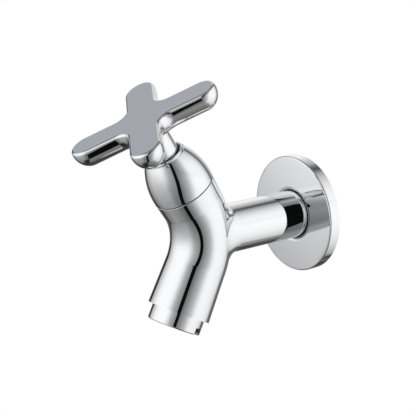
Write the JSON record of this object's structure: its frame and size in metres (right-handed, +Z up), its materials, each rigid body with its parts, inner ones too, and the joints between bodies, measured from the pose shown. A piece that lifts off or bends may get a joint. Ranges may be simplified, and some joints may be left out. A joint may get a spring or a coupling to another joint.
{
  "type": "wall tap",
  "caption": "Chromed wall tap with a cross handle, bent body, domed bonnet over a quarter-turn ceramic valve, sliding wall flange and screwed-in aerator.",
  "frame": {"origin": "on the inlet axis, in the plane of the wall face", "axes": "+Z up, +Y into the wall along the inlet thread; the tap stands out towards -Y, its middle plane at X = 0"},
  "size_m": [0.0586, 0.1243, 0.1156],
  "materials": {
    "chrome": "polished chrome plate",
    "brass": "turned",
    "ceramic": "lapped alumina",
    "seal_rubber": "moulded rubber",
    "gasket_fibre": "pressed fibre",
    "black_plastic": "moulded",
    "white_plastic": "moulded",
    "steel": "zinc plated"
  },
  "bodies": {
    "tap": {"tap_body": "chrome", "bonnet": "chrome", "bonnet_o_ring": "seal_rubber", "glide_ring": "black_plastic", "headwork_barrel": "brass", "headwork_gasket": "gasket_fibre", "seat_seal": "seal_rubber", "fixed_disc": "ceramic", "slip_washer": "white_plastic", "aerator_housing": "chrome", "aerator_washer": "seal_rubber", "aerator_strainer": "white_plastic", "aerator_jet_plate": "white_plastic", "aerator_insert": "black_plastic"},
    "handle": {"cross_handle": "chrome", "spline_adapter": "white_plastic", "handle_set_screw": "steel", "spindle": "brass", "spindle_o_rings": "seal_rubber", "circlip": "steel", "moving_disc": "ceramic"},
    "flange": {"wall_flange": "chrome", "flange_grip_ring": "seal_rubber"}
  },
  "joints": [
    {"name": "handle_turn", "type": "hinge", "parent": "tap", "child": "handle", "pos_m": [0, -0.0544, 0.0007], "axis": [0, -0.4955, 0.8686], "range_deg": [0, 90]},
    {"name": "flange_slide", "type": "slide", "parent": "tap", "child": "flange", "axis": [0, -1, 0], "range_m": [0, 0.024]}
  ]
}
